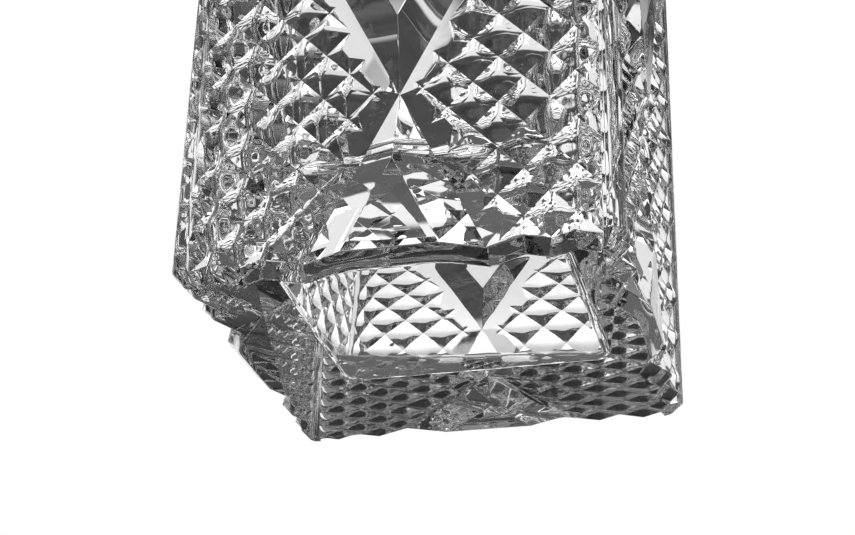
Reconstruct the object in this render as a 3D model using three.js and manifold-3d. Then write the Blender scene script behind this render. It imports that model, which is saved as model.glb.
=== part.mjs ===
import * as THREE from 'three';
import { mergeVertices } from 'three/addons/utils/BufferGeometryUtils.js';
import Module from 'manifold-3d';

// Square crystal carafe with a glass stopper, cut with diamonds and crossed mitres.
// Sizes are millimetres and +Z is up. The origin is the middle of the base and the front faces -Y.

// Body
const bodyWidth = 100;
const bodyCorner = 4; // radius of the upright corners
const shoulderStart = 130; // height where the straight sides end
const shoulderRadius = 24;
const footBevel = 3; // at 45 degrees, all round the base

// Hollow
const wall = 11.5;
const floorThickness = 32;
const floorCorner = 5; // radius between the floor and the walls
const hollowCorner = 12; // radius of the hollow's upright corners

// Neck and lip
const neckStart = 166; // height where the shoulder has turned into the round neck
const neckRadius = 19;
const neckFillet = 10;
const boreRadius = 12.5;
const mouthHeight = 190;
const mouthFlare = 2;
const lipRadius = 24;
const lipHeight = 8;

// Cut pattern, the same on all four sides
const diamondSlope = THREE.MathUtils.degToRad(34); // flanks of the grooves, measured from the face
const cellWidth = 11.4; // one diamond from corner to corner
const cellHeight = 11.6;
const crestDepth = 0.05; // from the face down to the diamonds' points
const pointLength = 0.3; // short ridge that each point is worn to
const crossingRows = 3.5; // cells from the foot's bevel up to the middle of the X
const raySlope = THREE.MathUtils.degToRad(28);
const raySpread = 0.5; // an arm of the X goes this far across for each unit up
const rayDepth = 4.4;
const wheelRadius = 60; // cutting wheel, whose rim shapes the upper end of each arm
const wheelOverrun = 0.05; // share of the rim's turn that the wheel goes on once it is clear
const panelMargin = 4; // least plain band between the pattern and the shoulder

// Seal, a soft sleeve pressed over the stopper's plug
const fitGap = 0.3; // running gap at the neck, the plug and the lip
const sealWall = 1;
const sealLength = 20;
const flangeRadius = 18;
const flangeThickness = 1.2;
const ribCount = 3;
const ribProud = 0.6;
const ribHeight = 2.4;
const ribPitch = 5.5;
const firstRib = 4; // from the flange down to the top of the first rib
const plugRadius = boreRadius - 2 * fitGap - ribProud - sealWall; // bare glass inside the sleeve

// Stopper
const plugLength = 25; // from the mouth down
const plugChamfer = 1.2;
const collarRadius = 17;
const collarHeight = 3;
const waistRadius = 13;
const waistHeight = 5;
const flareHeight = 9;
const headWidth = 44;
const headCorner = 3;
const headHeight = 30;
const headBevel = 5;
const headCell = 9;
const headBorder = 1.2; // plain band round the head's diamonds

// Fineness of the curves
const cornerSteps = 9;
const arcSteps = 3;
const latheSteps = 36;
const runOutSteps = 5;
const grid = 1e-4; // points lie on whole multiples of this, so points nearer than it are one

const wasm = await Module();
wasm.setup();

function toSolid(geometry) {
  const bare = geometry.clone();
  bare.deleteAttribute('normal');
  bare.deleteAttribute('uv');
  const merged = mergeVertices(bare, grid);
  return new wasm.Manifold(new wasm.Mesh({
    numProp: 3,
    vertProperties: new Float32Array(merged.attributes.position.array),
    triVerts: new Uint32Array(merged.index.array),
  }));
}

function toGeometry(solid) {
  const mesh = solid.getMesh();
  const positions = mesh.vertProperties.map((value) => Math.round(value / grid) * grid);
  const geometry = new THREE.BufferGeometry();
  geometry.setAttribute('position', new THREE.Float32BufferAttribute(positions, 3));
  geometry.setIndex(Array.from(mesh.triVerts));
  return geometry;
}

// Closed body through a row of rings that all have the same number of points.
function loft(rings) {
  const size = rings[0].length;
  const positions = rings.flat().flatMap((point) => point.toArray());
  const index = [];
  for (let row = 0; row + 1 < rings.length; row++) {
    for (let i = 0; i < size; i++) {
      const a = row * size + i;
      const b = row * size + (i + 1) % size;
      index.push(a, b, b + size, a, b + size, a + size);
    }
  }
  const last = (rings.length - 1) * size;
  for (let i = 1; i + 1 < size; i++) {
    index.push(0, i + 1, i);
    index.push(last, last + i, last + i + 1);
  }
  const geometry = new THREE.BufferGeometry();
  geometry.setAttribute('position', new THREE.Float32BufferAttribute(positions, 3));
  geometry.setIndex(index);
  return geometry;
}

// Square ring with round corners, which is a circle once the radius reaches the half width.
function roundedSquare(halfWidth, radius, z) {
  const step = Math.PI / 2 / cornerSteps;
  const tip = radius / Math.cos(step / 2);
  const ring = [];
  for (let i = 0; i < 4 * cornerSteps; i++) {
    const quarter = Math.floor(i / cornerSteps);
    const angle = (i + 0.5) * step;
    const centre = new THREE.Vector3(halfWidth - radius, halfWidth - radius, z);
    centre.applyAxisAngle(new THREE.Vector3(0, 0, 1), quarter * Math.PI / 2);
    ring.push(centre.add(new THREE.Vector3(tip * Math.cos(angle), tip * Math.sin(angle), 0)));
  }
  return ring;
}

// Square at the bottom of the outline, round at its top, and in between where it changes.
function squareToRound(outline, corner, squareUpTo, roundFrom) {
  return loft(outline.getPoints(arcSteps).map(({ x: halfWidth, y: z }) => {
    const round = THREE.MathUtils.smoothstep(z, squareUpTo, roundFrom);
    return roundedSquare(halfWidth, THREE.MathUtils.lerp(corner, halfWidth, round), z);
  }));
}

// Carries an outline over a convex arc and a concave one, joined by the line that touches both.
function sweepInwards(outline, convex, concave) {
  const across = concave.x - convex.x;
  const up = concave.z - convex.z;
  const lean = Math.acos((convex.radius + concave.radius) / Math.hypot(across, up));
  const turn = Math.atan2(up, across) - lean;
  outline.absarc(convex.x, convex.z, convex.radius, 0, turn);
  outline.absarc(concave.x, concave.z, concave.radius, turn + Math.PI, Math.PI, true);
}

// Cutters are drawn on the face plane, with +X across, +Z up and +Y into the glass, then placed here.
function onFace(geometry, face) {
  geometry.translate(0, -face.distance, 0);
  geometry.rotateZ(face.turn);
  return toSolid(geometry);
}

// Outline on a face, carried from outside the glass to well inside it.
function faceBlock(face, points) {
  const reach = 3 * rayDepth;
  const block = new THREE.ExtrudeGeometry(
    new THREE.Shape(points.map(([x, z]) => new THREE.Vector2(x, z))),
    { depth: reach, bevelEnabled: false },
  );
  block.rotateX(Math.PI / 2);
  block.translate(0, reach / 2, 0);
  return onFace(block, face);
}

// Parallel V grooves side by side as one comb, whose crests lie just under the face.
function grooveComb(face, height, pitch, reach, angle, crest) {
  const depth = crest + pitch / 2 * Math.tan(diamondSlope);
  const teeth = Math.ceil(reach / pitch);
  const profile = [];
  for (let i = -teeth; i <= teeth; i++) {
    profile.push(new THREE.Vector2((i - 1) * pitch, -crest));
    profile.push(new THREE.Vector2((i - 0.5) * pitch, -depth));
  }
  profile.push(new THREE.Vector2(teeth * pitch, -crest));
  profile.push(new THREE.Vector2(teeth * pitch, depth));
  profile.push(new THREE.Vector2(-(teeth + 1) * pitch, depth));
  const comb = new THREE.ExtrudeGeometry(
    new THREE.Shape(profile),
    { depth: 2 * reach, bevelEnabled: false },
  );
  comb.translate(0, 0, -reach);
  comb.rotateZ(Math.PI);
  comb.rotateY(angle);
  comb.translate(0, 0, height);
  return onFace(comb, face);
}

// Two crossed combs leave a field of four-sided diamonds, with one centred at the given height.
function diamonds(face, height, cell, reach) {
  const angle = Math.atan(cell.x / cell.y);
  const pitch = cell.x * Math.cos(angle);
  const lower = crestDepth + pointLength / 2 * Math.tan(diamondSlope);
  const rising = grooveComb(face, height, pitch, reach, angle, crestDepth);
  return rising.add(grooveComb(face, height, pitch, reach, -angle, lower));
}

// One arm of the X from the foot to the panel's edge, where it runs out to a point.
function mitreCut(face, crossing, angle, down, up) {
  const proud = 1;
  const runOut = Math.acos(1 - rayDepth / wheelRadius);
  const stations = [{ along: -down, depth: rayDepth }];
  for (let i = 0; i <= runOutSteps; i++) {
    const turn = (1 + wheelOverrun) * runOut * i / runOutSteps;
    stations.push({
      along: up + wheelRadius * (Math.sin(turn) - Math.sin(runOut)),
      depth: rayDepth - wheelRadius * (1 - Math.cos(turn)),
    });
  }
  const cut = loft(stations.map(({ along, depth }) => {
    const halfWidth = (depth + proud) / Math.tan(raySlope);
    return [
      new THREE.Vector3(-halfWidth, -proud, along),
      new THREE.Vector3(halfWidth, -proud, along),
      new THREE.Vector3(0, depth, along),
    ];
  }));
  cut.rotateY(angle);
  cut.translate(0, 0, crossing);
  return onFace(cut, face);
}

// Everything that is cut out of one side of the body. The panel ends on whole half cells.
function bodyPattern(face) {
  const cell = new THREE.Vector2(cellWidth, cellHeight);
  const rows = Math.floor(2 * (shoulderStart - panelMargin - footBevel) / cell.y);
  const columns = Math.floor(2 * (face.distance - bodyCorner) / cell.x);
  const top = footBevel + rows * cell.y / 2;
  const edge = columns * cell.x / 2;
  const crossing = footBevel + crossingRows * cell.y;
  const reach = bodyWidth + shoulderStart;
  const rayAngle = Math.atan(raySpread);
  const panel = faceBlock(face, [[-edge, 0], [edge, 0], [edge, top], [-edge, top]]);
  const field = diamonds(face, crossing, cell, reach).intersect(panel);
  const up = Math.min(edge / Math.sin(rayAngle), (top - crossing) / Math.cos(rayAngle));
  const down = (crossing + rayDepth) / Math.cos(rayAngle);
  const cuts = [];
  for (const side of [-1, 1]) {
    const beside = faceBlock(face, [
      [0, crossing],
      [side * reach * raySpread, crossing - reach],
      [side * reach * raySpread, crossing + reach],
    ]);
    cuts.push(field.intersect(beside));
    cuts.push(mitreCut(face, crossing, side * rayAngle, down, up).intersect(panel));
  }
  return cuts;
}

// Everything that is cut out of one side of the stopper's head.
function headPattern(face, bottom) {
  const edge = face.distance - headCorner - headBorder;
  const low = bottom + headBorder;
  const high = bottom + headHeight - headBevel - headBorder;
  const panel = faceBlock(face, [[-edge, low], [edge, low], [edge, high], [-edge, high]]);
  const cell = new THREE.Vector2(headCell, headCell);
  return [diamonds(face, (low + high) / 2, cell, headWidth + headHeight).intersect(panel)];
}

// Takes the pattern out of all four sides.
function cutFourSides(solid, distance, pattern) {
  let result = solid;
  for (let side = 0; side < 4; side++) {
    for (const cut of pattern({ distance, turn: side * Math.PI / 2 })) {
      result = result.subtract(cut);
    }
  }
  return result;
}

// Point of the bevel's upper edge carried down to the base, drawn in square to the nearest side.
function drawnIn(point) {
  const straight = bodyWidth / 2 - Math.max(bodyCorner, 2 * footBevel);
  const reach = new THREE.Vector2(Math.abs(point.x), Math.abs(point.y));
  const inward = new THREE.Vector2(reach.x > reach.y ? 1 : 0, reach.x > reach.y ? 0 : 1);
  if (Math.min(reach.x, reach.y) > straight) {
    inward.copy(reach).subScalar(straight).normalize();
  }
  reach.addScaledVector(inward, -footBevel);
  return new THREE.Vector3(Math.sign(point.x) * reach.x, Math.sign(point.y) * reach.y, 0);
}

// Adds the bevelled foot under a body that ends flat at the bevel's upper edge, so that the edges of
// the base follow the waves of the pattern.
function addFoot(geometry) {
  const corners = geometry.getAttribute('position');
  const point = (i) => new THREE.Vector3().fromBufferAttribute(corners, i);
  const index = geometry.getIndex().array;
  const triangles = [];
  const edges = new Map();
  for (let i = 0; i < index.length; i += 3) {
    const ids = [index[i], index[i + 1], index[i + 2]];
    const isBase = ids.every((id) => point(id).z < footBevel + grid);
    triangles.push(isBase ? ids.map((id) => drawnIn(point(id))) : ids.map(point));
    if (isBase) {
      ids.forEach((id, k) => edges.set(`${id} ${ids[(k + 1) % 3]}`, [id, ids[(k + 1) % 3]]));
    }
  }
  for (const [from, to] of edges.values()) {
    if (!edges.has(`${to} ${from}`)) {
      triangles.push([point(from), point(to), drawnIn(point(to))]);
      triangles.push([point(from), drawnIn(point(to)), drawnIn(point(from))]);
    }
  }
  return mergeVertices(new THREE.BufferGeometry().setFromPoints(triangles.flat()), grid);
}

function makeBody() {
  const half = bodyWidth / 2;
  const bead = lipHeight / 2;
  const neckAxis = neckRadius + neckFillet;
  const convex = { x: half - shoulderRadius, z: shoulderStart, radius: shoulderRadius };
  const outside = new THREE.Path();
  outside.moveTo(half, footBevel);
  outside.lineTo(half, shoulderStart);
  sweepInwards(outside, convex, { x: neckAxis, z: neckStart, radius: neckFillet });
  outside.lineTo(neckRadius, mouthHeight - lipHeight);
  outside.absarc(lipRadius - bead, mouthHeight - bead, bead, -Math.PI / 2, Math.PI / 2);
  const glass = toSolid(squareToRound(outside, bodyCorner, shoulderStart, neckStart));

  const hollowHalf = half - wall;
  const inside = new THREE.Path();
  inside.absarc(hollowHalf - floorCorner, floorThickness + floorCorner, floorCorner, -Math.PI / 2, 0);
  sweepInwards(
    inside,
    { ...convex, radius: shoulderRadius - wall },
    { x: neckAxis, z: neckStart, radius: neckAxis - boreRadius },
  );
  inside.lineTo(boreRadius, mouthHeight - mouthFlare);
  inside.lineTo(boreRadius + 2 * mouthFlare, mouthHeight + mouthFlare);
  const hollow = toSolid(squareToRound(inside, hollowCorner, shoulderStart, neckStart));

  return addFoot(toGeometry(cutFourSides(glass, half, bodyPattern).subtract(hollow)));
}

function makeSeal() {
  const inner = plugRadius + fitGap;
  const outer = inner + sealWall;
  const rest = mouthHeight + fitGap;
  const end = rest - sealLength;
  const profile = [
    new THREE.Vector2(inner, end),
    new THREE.Vector2(outer, end),
  ];
  for (let rib = ribCount - 1; rib >= 0; rib--) {
    const ribTop = rest - firstRib - rib * ribPitch;
    profile.push(new THREE.Vector2(outer, ribTop - ribHeight));
    profile.push(new THREE.Vector2(outer + ribProud, ribTop - ribHeight / 4));
    profile.push(new THREE.Vector2(outer + ribProud, ribTop));
    profile.push(new THREE.Vector2(outer, ribTop));
  }
  profile.push(new THREE.Vector2(outer, rest));
  profile.push(new THREE.Vector2(flangeRadius, rest));
  profile.push(new THREE.Vector2(flangeRadius, rest + flangeThickness));
  profile.push(new THREE.Vector2(inner, rest + flangeThickness));
  profile.push(profile[0].clone());
  const seal = new THREE.LatheGeometry(profile, latheSteps);
  seal.rotateX(Math.PI / 2);
  return seal;
}

function makeStopper() {
  const plugEnd = mouthHeight - plugLength;
  const collar = mouthHeight + 2 * fitGap + flangeThickness;
  const waist = collar + collarHeight;
  const flare = waist + waistHeight;
  const head = flare + flareHeight;
  const half = headWidth / 2;
  const outline = new THREE.Path();
  outline.moveTo(plugRadius - plugChamfer, plugEnd);
  outline.lineTo(plugRadius, plugEnd + plugChamfer);
  outline.lineTo(plugRadius, collar);
  outline.lineTo(collarRadius, collar);
  outline.lineTo(collarRadius, collar + collarHeight / 2);
  outline.quadraticCurveTo(waistRadius, waist, waistRadius, waist + waistHeight / 2);
  outline.lineTo(waistRadius, flare);
  outline.quadraticCurveTo(waistRadius, flare + flareHeight / 2, half, head);
  outline.lineTo(half, head + headHeight - headBevel);
  outline.lineTo(half - headBevel, head + headHeight);
  const rings = outline.getPoints(2 * arcSteps).map(({ x: halfWidth, y: z }) => {
    const square = THREE.MathUtils.smoothstep(z, flare, head);
    const corner = Math.min(headCorner, halfWidth);
    return roundedSquare(halfWidth, THREE.MathUtils.lerp(halfWidth, corner, square), z);
  });
  return toGeometry(cutFourSides(toSolid(loft(rings)), half, (face) => headPattern(face, head)));
}

const crystal = new THREE.MeshStandardMaterial({ color: 0xdfe3e6, roughness: 0.04, metalness: 0 });
const softSeal = new THREE.MeshStandardMaterial({ color: 0xe6e8e8, roughness: 0.45, metalness: 0 });

const carafe = new THREE.Group();

function addPiece(name, geometry, material) {
  const piece = new THREE.Mesh(geometry, material);
  piece.name = name;
  geometry.computeVertexNormals();
  carafe.add(piece);
}

addPiece('carafe_body', makeBody(), crystal);
addPiece('stopper_seal', makeSeal(), softSeal);
addPiece('stopper', makeStopper(), crystal.clone());

export default carafe;
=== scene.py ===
# Square crystal carafe: cut glass body, glass stopper and soft seal, in a plain pale studio.
import math

import bmesh
import bpy
from mathutils import Matrix, Vector


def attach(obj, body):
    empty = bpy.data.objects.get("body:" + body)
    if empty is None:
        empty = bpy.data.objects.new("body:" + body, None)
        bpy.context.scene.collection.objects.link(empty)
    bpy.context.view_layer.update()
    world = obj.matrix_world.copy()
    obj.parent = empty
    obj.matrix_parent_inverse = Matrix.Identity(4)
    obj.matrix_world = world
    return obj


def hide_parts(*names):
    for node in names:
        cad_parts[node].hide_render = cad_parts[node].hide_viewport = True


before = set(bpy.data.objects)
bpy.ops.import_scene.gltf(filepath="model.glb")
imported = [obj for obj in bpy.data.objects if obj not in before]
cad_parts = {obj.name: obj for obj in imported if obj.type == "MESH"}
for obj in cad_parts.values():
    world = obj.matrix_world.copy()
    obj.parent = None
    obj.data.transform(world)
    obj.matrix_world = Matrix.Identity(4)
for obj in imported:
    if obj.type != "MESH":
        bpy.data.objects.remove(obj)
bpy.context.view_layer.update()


# Shader maths as plain expressions
class Signal:
    def __init__(self, shader, socket):
        self.shader = shader
        self.socket = socket

    def maths(self, operation, *values):
        settings = {"operation": operation}
        return self.shader.signal("ShaderNodeMath", settings, dict(enumerate(values)))

    def __add__(self, other):
        return self.maths("ADD", self, other)

    __radd__ = __add__

    def __sub__(self, other):
        return self.maths("SUBTRACT", self, other)

    def __rsub__(self, other):
        return self.maths("SUBTRACT", other, self)

    def __mul__(self, other):
        return self.maths("MULTIPLY", self, other)

    __rmul__ = __mul__

    def atLeast(self, other):
        return self.maths("MAXIMUM", self, other)

    # 0 below low, 1 above high, smooth between
    def rise(self, low, high):
        settings = {"interpolation_type": "SMOOTHSTEP"}
        values = {"Value": self, "From Min": low, "From Max": high}
        return self.shader.signal("ShaderNodeMapRange", settings, values)


class Shader:
    def __init__(self, owner):
        owner.use_nodes = True
        self.tree = owner.node_tree
        self.tree.nodes.clear()

    def node(self, kind, settings=None, values=None):
        made = self.tree.nodes.new(kind)
        for name, value in (settings or {}).items():
            setattr(made, name, value)
        for name, value in (values or {}).items():
            if isinstance(value, Signal):
                self.tree.links.new(value.socket, made.inputs[name])
            else:
                made.inputs[name].default_value = value
        return made

    def signal(self, kind, settings=None, values=None, output=0):
        return Signal(self, self.node(kind, settings, values).outputs[output])

    # Height of a fine unevenness, and the normal that it gives
    def unevenness(self, look):
        place = self.signal("ShaderNodeTexCoord", output="Object")
        height = self.signal(
            "ShaderNodeTexNoise",
            values={"Vector": place, "Scale": 1 / look["grain"], "Detail": look["detail"]},
        )
        normal = self.signal(
            "ShaderNodeBump",
            values={"Height": height, "Distance": look["relief"], "Strength": look["strength"]},
        )
        return height, normal

    def glow(self, strength):
        return self.signal("ShaderNodeEmission", values={"Strength": strength})

    # The first surface where share is 0, the second where it is 1
    def mixed(self, share, first, second):
        return self.signal("ShaderNodeMixShader", values={0: share, 1: first, 2: second})


def meshFrom(bm, name):
    mesh = bpy.data.meshes.new(name)
    bm.to_mesh(mesh)
    bm.free()
    return mesh


def addObject(name, data):
    made = bpy.data.objects.new(name, data)
    bpy.context.scene.collection.objects.link(made)
    return made


# Camera: below the base and a little to the right, as in the photograph
viewPoint = {
    "place": (0.096147, -0.378393, -0.174814),
    "azimuth": 14.922,  # degrees, as are the next two
    "elevation": -26.856,
    "roll": 1.493,
    "lens": 77.01,  # mm, as is the sensor
    "sensor": 36,
    "nearest": 0.01,
    "farthest": 50,
}


def addCamera():
    azimuth, elevation, roll = (
        math.radians(viewPoint[name]) for name in ("azimuth", "elevation", "roll")
    )
    back = Vector((
        math.sin(azimuth) * math.cos(elevation),
        -math.cos(azimuth) * math.cos(elevation),
        math.sin(elevation),
    ))
    right = (-back).cross(Vector((0, 0, 1))).normalized()
    up = back.cross(right)
    turned = Matrix.Rotation(roll, 3, back) @ Matrix((right, up, back)).transposed()
    data = bpy.data.cameras.new("camera")
    data.lens = viewPoint["lens"]
    data.sensor_width = viewPoint["sensor"]
    data.clip_start = viewPoint["nearest"]
    data.clip_end = viewPoint["farthest"]
    camera = addObject("camera", data)
    camera.matrix_world = Matrix.Translation(viewPoint["place"]) @ turned.to_4x4()
    bpy.context.scene.camera = camera


addCamera()
print("camera placed")


# Crystal glass, the same for body and stopper
crystalLook = {
    "colour": (1, 1, 1, 1),
    "roughness": 0.0,
    "ior": 1.53,
    "grain": 0.012,  # length of the fire-polished surface's slow waves
    "detail": 1.0,
    "relief": 0.00003,
    "strength": 1.0,
}


def crystalMaterial():
    material = bpy.data.materials.new("crystal")
    shader = Shader(material)
    normal = shader.unevenness(crystalLook)[1]
    glass = shader.signal(
        "ShaderNodeBsdfPrincipled",
        values={
            "Base Color": crystalLook["colour"],
            "Roughness": crystalLook["roughness"],
            "IOR": crystalLook["ior"],
            "Transmission Weight": 1.0,
            "Normal": normal,
        },
    )
    shader.node("ShaderNodeOutputMaterial", values={"Surface": glass})
    return material


# Soft milky plastic of the seal
sealLook = {
    "colour": (0.86, 0.87, 0.87, 1),
    "roughness": 0.45,
    "rougher": 0.1,  # added on the grain's high places
    "highPlaces": (0.3, 0.7),  # where that starts and is full
    "ior": 1.42,
    "translucence": 0.35,
    "grain": 0.0008,
    "detail": 2.0,
    "relief": 0.00004,
    "strength": 0.6,
}


def sealMaterial():
    material = bpy.data.materials.new("soft_seal")
    shader = Shader(material)
    grain, normal = shader.unevenness(sealLook)
    rougher = grain.rise(*sealLook["highPlaces"]) * sealLook["rougher"]
    plastic = shader.signal(
        "ShaderNodeBsdfPrincipled",
        values={
            "Base Color": sealLook["colour"],
            "Roughness": rougher + sealLook["roughness"],
            "Transmission Weight": sealLook["translucence"],
            "IOR": sealLook["ior"],
            "Normal": normal,
        },
    )
    shader.node("ShaderNodeOutputMaterial", values={"Surface": plastic})
    return material


# Glass pieces: each CAD node's own facets, with worn points, softened edges and rounded diamonds
glassEdges = {
    "merge": 0.000001,  # corners nearer than this are one
    "worn": 0.0006,  # edges shorter than this are drawn together
    "sliver": 0.7,  # of that length, height up to which a triangle closes too
    "speck": 1e-9,  # area below which a triangle may turn over
    "turned": 0.3,  # cosine of the angle by which another may turn
    "passes": 12,
    "flat": 4,  # degrees between faces that become one facet
    "sharp": 20,  # degrees from which two faces meet in an edge, not in a curve
    "radius": 0.0002,
    "room": 0.001,  # width that an edge's faces need for its bevel
    "segments": 1,
    "ridge": 0.35,  # crease of the diamonds' ridges, 0 for round and 1 for sharp
    "levels": 2,
    "weight": 60,  # of the wide faces in the shading
    "facetRise": 0.392,  # upward and outward parts of a diamond facet's normal
    "facetOutward": 0.829,
    "facetSpread": 0.06,
    "margin": 1e-7,  # kept from the CAD node's box
}


def neighbours(vert):
    return {edge.other_vert(vert) for edge in vert.link_edges}


# Whether a face round vert, apart from those that vanish, would turn over if vert went to place
def turnsOver(vert, partner, place):
    for face in vert.link_faces:
        if partner in face.verts or face.calc_area() < glassEdges["speck"]:
            continue
        points = [place if v is vert else v.co for v in face.verts]
        normal = (points[1] - points[0]).cross(points[2] - points[0])
        if normal.length == 0 or normal.normalized().dot(face.normal) < glassEdges["turned"]:
            return True
    return False


# Draws each short edge together to one point, a few at a time so that the shell stays closed
def drawEdgesTogether(bm, length):
    while True:
        targets = {}
        touched = set()
        bm.normal_update()
        short = [edge for edge in bm.edges if edge.calc_length() < length]
        for edge in sorted(short, key=lambda e: e.calc_length()):
            first, second = edge.verts
            around = neighbours(first) | neighbours(second)
            if around & touched or len(neighbours(first) & neighbours(second)) != 2:
                continue
            middle = (first.co + second.co) / 2
            if turnsOver(first, second, middle) or turnsOver(second, first, middle):
                continue
            first.co = middle
            second.co = middle
            targets[first] = second
            touched |= around
        if not targets:
            return
        bmesh.ops.weld_verts(bm, targetmap=targets)


# Splits the long side of each flat sliver under its tip, so that the next pass can close it
def splitSlivers(bm, height):
    touched = set()
    for face in list(bm.faces):
        edge = max(face.edges, key=lambda e: e.calc_length())
        tip = next(v for v in face.verts if v not in edge.verts)
        start, end = edge.verts
        along = end.co - start.co
        share = (tip.co - start.co).dot(along) / along.length_squared
        foot = start.co.lerp(end.co, share)
        room = height / along.length
        sides = list(edge.link_faces)
        if (tip.co - foot).length > height or not room < share < 1 - room or touched & set(sides):
            continue
        corners = [next(v for v in side.verts if v not in edge.verts) for side in sides]
        middle = bmesh.utils.edge_split(edge, start, share)[1]
        for side, corner in zip(sides, corners):
            touched |= {side, bmesh.utils.face_split(side, middle, corner)[0]}
    return len(touched) > 0


# Wears points and slivers away, and makes one face of each facet's triangles
def wearDown(bm):
    for _ in range(glassEdges["passes"]):
        drawEdgesTogether(bm, glassEdges["worn"])
        if not splitSlivers(bm, glassEdges["sliver"] * glassEdges["worn"]):
            break
    flat = math.radians(glassEdges["flat"])
    bmesh.ops.dissolve_limit(bm, angle_limit=flat, verts=bm.verts, edges=bm.edges)


# The hollow's lower end as the view through the base shows it: a shallow bowl with a tight rim
hollowEnd = {
    "floor": 0.032,  # of the CAD node, as are the next three
    "half": 0.0385,
    "corner": 0.012,
    "rim": 0.005,
    "near": 0.0001,  # what lies this near to them belongs to them
    "level": 0.999,  # upward part of the floor's normal
    "cell": 0.0077,
    "newHalf": 0.0347,
    "newCorner": 0.0045,
    "newRim": 0.0015,
    "sag": 0.002,
    "bowl": 0.363,  # radius
    "beside": 0.001,  # what lies within this of the new end, and this high, is part of it
    "above": 0.004,
}


# Cuts the flat floor into cells, so that it can be bent
def cutFloor(bm):
    floor, half, cell = (hollowEnd[name] for name in ("floor", "half", "cell"))
    for axis in range(2):
        for step in range(round(2 * half / cell) + 1):
            faces = [
                face
                for face in bm.faces
                if face.normal.z > hollowEnd["level"]
                and abs(face.calc_center_median().z - floor) < hollowEnd["near"]
            ]
            edges = {edge for face in faces for edge in face.edges}
            verts = {vert for face in faces for vert in face.verts}
            across = Vector((axis == 0, axis == 1, 0))
            bmesh.ops.bisect_plane(
                bm,
                geom=[*faces, *edges, *verts],
                dist=glassEdges["merge"],
                plane_co=across * (step * cell - half),
                plane_no=across,
            )


def reshapeHollowEnd(bm):
    floor, half, corner, rim = (hollowEnd[name] for name in ("floor", "half", "corner", "rim"))
    near = hollowEnd["near"]
    for vert in bm.verts:
        x, y, z = vert.co
        if max(abs(x), abs(y)) > half + near or not floor - near < z < floor + rim + near:
            continue
        sine = min(max((floor + rim - z) / rim, 0), 1)
        inset = 1 - math.sqrt(1 - sine * sine)
        old = half - rim * inset - corner
        new = hollowEnd["newHalf"] - hollowEnd["newRim"] * inset - hollowEnd["newCorner"]
        for axis in range(2):
            place = abs(vert.co[axis])
            beyond = max(place - old, 0) * hollowEnd["newCorner"] / corner
            vert.co[axis] = math.copysign(min(place, old) / old * new + beyond, vert.co[axis])
        bend = (vert.co.x**2 + vert.co.y**2) / (2 * hollowEnd["bowl"]) - hollowEnd["sag"]
        vert.co.z = floor + hollowEnd["newRim"] * (1 - sine) + bend


# Whether a face is one of the diamonds' four slopes
def isFacet(face):
    x, y, z = (abs(part) for part in face.normal)
    spread = glassEdges["facetSpread"]
    outward = abs(max(x, y) - glassEdges["facetOutward"])
    return abs(z - glassEdges["facetRise"]) < spread and outward < spread


# Signed angle between an edge's faces, 0 where they belong to one curve
def fold(edge):
    angle = edge.calc_face_angle_signed(0)
    return 0 if abs(angle) < math.radians(glassEdges["sharp"]) else angle


def isRidge(edge):
    return fold(edge) > 0 and all(isFacet(face) for face in edge.link_faces)


# Whether an edge stands out, between faces wide enough for its bevel
def hasRoom(edge):
    if fold(edge) <= 0:
        return False
    width = min(2 * face.calc_area() / edge.calc_length() for face in edge.link_faces)
    return width > glassEdges["room"]


def isConvex(face):
    return all(loop.is_convex for loop in face.loops)


def bevelEdges(bm):
    bm.normal_update()
    bmesh.ops.bevel(
        bm,
        geom=[edge for edge in bm.edges if hasRoom(edge) and not isRidge(edge)],
        offset=glassEdges["radius"],
        offset_type="OFFSET",
        affect="EDGES",
        segments=glassEdges["segments"],
        profile=0.5,
        material=-1,
        clamp_overlap=False,
    )
    bmesh.ops.remove_doubles(bm, verts=bm.verts, dist=glassEdges["merge"])
    split = [face for face in bm.faces if len(face.verts) > 4 or not isConvex(face)]
    bmesh.ops.triangulate(bm, faces=split, ngon_method="EAR_CLIP")


# Whether a face has a form that subdivision keeps: a facet, a face of four corners or the bowl
def isRound(face):
    x, y, z = face.calc_center_median()
    isBeside = max(abs(x), abs(y)) < hollowEnd["newHalf"] + hollowEnd["beside"]
    isBowl = isBeside and abs(z - hollowEnd["floor"]) < hollowEnd["above"]
    return len(face.verts) == 4 or isFacet(face) or isBowl


def isCurved(edge):
    return fold(edge) == 0 and all(isRound(face) for face in edge.link_faces)


# Pins all but ridges and curves, so that subdivision rounds these alone; grooves shade sharp
def setCreases(bm):
    creases = bm.edges.layers.float.new("crease_edge")
    corners = bm.verts.layers.float.new("crease_vert")
    for edge in bm.edges:
        edge[creases] = 0 if isCurved(edge) else 1
        if isRidge(edge):
            edge[creases] = glassEdges["ridge"]
        edge.smooth = fold(edge) >= 0
    for vert in bm.verts:
        vert[corners] = any(edge[creases] == 1 for edge in vert.link_edges)


def keepInside(bm, low, high):
    margin = glassEdges["margin"]
    for vert in bm.verts:
        vert.co = [min(max(x, a + margin), b - margin) for x, a, b in zip(vert.co, low, high)]


# Gives edges and faces one order, so that every run makes the same mesh
def putInOrder(bm):
    bm.verts.index_update()
    for elements in (bm.edges, bm.faces):
        ranked = sorted(elements, key=lambda e: sorted(vert.index for vert in e.verts))
        for place, element in enumerate(ranked):
            element.index = place
        elements.sort()


def addRounding(piece):
    rounding = piece.modifiers.new("rounding", "SUBSURF")
    rounding.levels = glassEdges["levels"]
    rounding.render_levels = glassEdges["levels"]
    facets = piece.modifiers.new("facets", "WEIGHTED_NORMAL")
    facets.weight = glassEdges["weight"]
    facets.keep_sharp = True


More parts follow.
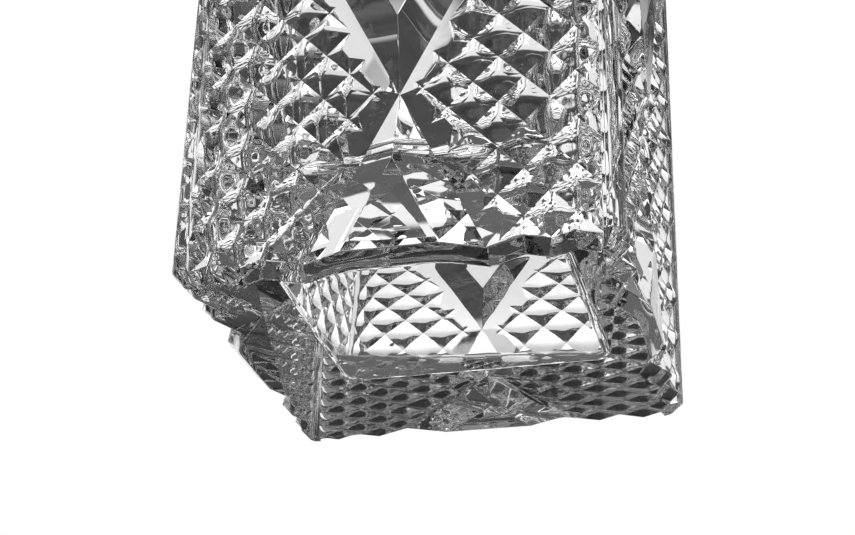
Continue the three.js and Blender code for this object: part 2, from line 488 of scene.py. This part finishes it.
def softenedGlass(nodeName, pieceName, material):
    bm = bmesh.new()
    bm.from_mesh(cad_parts[nodeName].data)
    bmesh.ops.remove_doubles(bm, verts=bm.verts, dist=glassEdges["merge"])
    low, high = ([end(v.co[i] for v in bm.verts) for i in range(3)] for end in (min, max))
    wearDown(bm)
    if nodeName == "carafe_body":
        cutFloor(bm)
        reshapeHollowEnd(bm)
    bevelEdges(bm)
    keepInside(bm, low, high)
    bm.normal_update()
    setCreases(bm)
    putInOrder(bm)
    for face in bm.faces:
        face.smooth = True
    unclosed = sum(not edge.is_manifold for edge in bm.edges)
    print(pieceName, len(bm.faces), "faces,", unclosed, "unclosed edges")
    mesh = meshFrom(bm, pieceName)
    mesh.materials.append(material)
    piece = addObject(pieceName, mesh)
    addRounding(piece)
    return piece


crystal = crystalMaterial()
glassBody = softenedGlass("carafe_body", "glass_body", crystal)
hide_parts("carafe_body")
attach(glassBody, "carafe")
glassStopper = softenedGlass("stopper", "glass_stopper", crystal)
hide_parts("stopper")
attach(glassStopper, "stopper")
print("glass pieces made")

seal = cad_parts["stopper_seal"]
seal.data.materials.clear()
seal.data.materials.append(sealMaterial())
print("seal dressed")


# Floor, seen from above only, so that the view from below passes through it
floorLook = {
    "size": 12.0,
    "gap": 0.0002,  # under the base
    "colour": (0.9, 0.9, 0.9, 1),
    "fade": (0.5, 2.0),  # distances between which it turns into the white background
    "background": 1.0,
    "paintedContactShadow": 0.12,  # painted contact shadow: how bright the glass shows its patch under the carafe,
    "paintedLitRing": 1.0,  # a painted pool of light: the lit ring round that
    "farGlow": 0.1,  # and the dimmer rest
    "ringStart": (0.09, 0.1),  # distances over which the painted lit ring begins
    "ringEnd": (0.16, 0.3),
}


def floorMaterial():
    material = bpy.data.materials.new("pale_floor")
    shader = Shader(material)
    place = shader.signal("ShaderNodeTexCoord", output="Object")
    distance = shader.signal("ShaderNodeVectorMath", {"operation": "LENGTH"}, {0: place}, "Value")
    behind = shader.signal("ShaderNodeNewGeometry", output="Backfacing")
    path = shader.node("ShaderNodeLightPath")
    refracted, reflected = (
        Signal(shader, path.outputs[name]) for name in ("Is Transmission Ray", "Is Glossy Ray")
    )
    pale = shader.signal("ShaderNodeBsdfDiffuse", values={"Color": floorLook["colour"]})
    white, paintedShadow, near, far = (
        shader.glow(floorLook[name]) for name in ("background", "paintedContactShadow", "paintedLitRing", "farGlow")
    )
    clear = shader.signal("ShaderNodeBsdfTransparent")
    seen = shader.mixed(distance.rise(*floorLook["fade"]), pale, white)
    # What the glass sees of the floor: a painted contact shadow under the carafe, a painted pool
    # of light round it, and dimmer floor beyond
    paintedShadowAndLight = shader.mixed(distance.rise(*floorLook["ringStart"]), paintedShadow, near)
    glow = shader.mixed(distance.rise(*floorLook["ringEnd"]), paintedShadowAndLight, far)
    lit = shader.mixed(refracted.atLeast(reflected), seen, glow)
    surface = shader.mixed(behind, lit, clear)
    shader.node("ShaderNodeOutputMaterial", values={"Surface": surface})
    return material


def addFloor():
    bm = bmesh.new()
    bmesh.ops.create_grid(bm, x_segments=1, y_segments=1, size=floorLook["size"] / 2)
    bmesh.ops.translate(bm, verts=bm.verts, vec=(0, 0, -floorLook["gap"]))
    mesh = meshFrom(bm, "floor")
    mesh.materials.append(floorMaterial())
    floor = addObject("floor", mesh)


# Studio: a bright wall behind the carafe, brightest near the floor, and dim walls elsewhere
studioLook = {
    "background": 1.0,  # what the camera sees of it
    "towards": (-0.276, 0.961, 0),  # middle of the bright wall
    "wall": 0.95,
    "lowWall": 1.0,  # added at the horizon
    "lowTop": 0.4,  # sine of the elevation, as are the ends and the horizon
    "wallSides": (0.75, 0.8),  # cosine of the angle from its middle
    "wallEnd": (0.5, 0.56),
    "room": 0.06,
    "roomEnd": (0.5, 0.9),
    "pale": 0.25,  # of the room's low walls, but for its darker side
    "paleEnd": (0.3, 0.6),
    "darkSide": (0.966, 0.259, 0),
    "darkEdges": (0.5, 0.8),  # cosine of the angle from its middle
    "horizon": (-0.02, 0),  # it is dark below the floor
}


def addStudio():
    world = bpy.data.worlds.new("studio")
    bpy.context.scene.world = world
    shader = Shader(world)

    def vectorMaths(operation, *values, output="Vector"):
        settings = {"operation": operation}
        return shader.signal("ShaderNodeVectorMath", settings, dict(enumerate(values)), output)

    direction = shader.signal("ShaderNodeTexCoord", output="Generated")
    height = shader.signal("ShaderNodeSeparateXYZ", values={0: direction}, output="Z")
    level = vectorMaths("NORMALIZE", vectorMaths("MULTIPLY", direction, (1, 1, 0)))
    across = vectorMaths("DOT_PRODUCT", level, studioLook["towards"], output="Value")
    aside = vectorMaths("DOT_PRODUCT", level, studioLook["darkSide"], output="Value")
    low = 1 - height.rise(0, studioLook["lowTop"])
    wall = (low * studioLook["lowWall"] + studioLook["wall"]) * (
        across.rise(*studioLook["wallSides"]) * (1 - height.rise(*studioLook["wallEnd"]))
    )
    pale = (1 - aside.rise(*studioLook["darkEdges"])) * (1 - height.rise(*studioLook["paleEnd"]))
    room = (1 - height.rise(*studioLook["roomEnd"])) * studioLook["room"]
    brightest = wall.atLeast(room).atLeast(pale * studioLook["pale"])
    around = brightest * height.rise(*studioLook["horizon"])
    camera = shader.signal("ShaderNodeLightPath", output="Is Camera Ray")
    strength = around + camera * (studioLook["background"] - around)
    light = shader.signal(
        "ShaderNodeBackground", values={"Color": (1, 1, 1, 1), "Strength": strength}
    )
    shader.node("ShaderNodeOutputWorld", values={"Surface": light})


softBoxes = [
    {"name": "key", "place": (-0.9, -0.7, 1.1), "size": 0.5, "energy": 22.0},
    {"name": "fill", "place": (1.0, 0.4, 0.9), "size": 0.4, "energy": 14.0},
]


# A soft box that shines at the carafe's foot
def addSoftBox(name, place, size, energy):
    data = bpy.data.lights.new(name, "AREA")
    data.shape = "SQUARE"
    data.size = size
    data.energy = energy
    lamp = addObject(name, data)
    lamp.matrix_world = Matrix.Translation(place) @ (
        Vector(place).to_track_quat("Z", "Y").to_matrix().to_4x4()
    )
    lamp.visible_glossy = False  # the glass shows the walls, not the lamps
    lamp.visible_transmission = False


addFloor()
addStudio()
for softBox in softBoxes:
    addSoftBox(**softBox)
print("studio made")

bounces = {"all": 32, "transmission": 32, "glossy": 24, "transparent": 16}

scene = bpy.context.scene
scene.view_settings.view_transform = "Standard"
scene.cycles.max_bounces = bounces["all"]  # light crosses the cut glass many times
scene.cycles.transmission_bounces = bounces["transmission"]
scene.cycles.glossy_bounces = bounces["glossy"]
scene.cycles.transparent_max_bounces = bounces["transparent"]
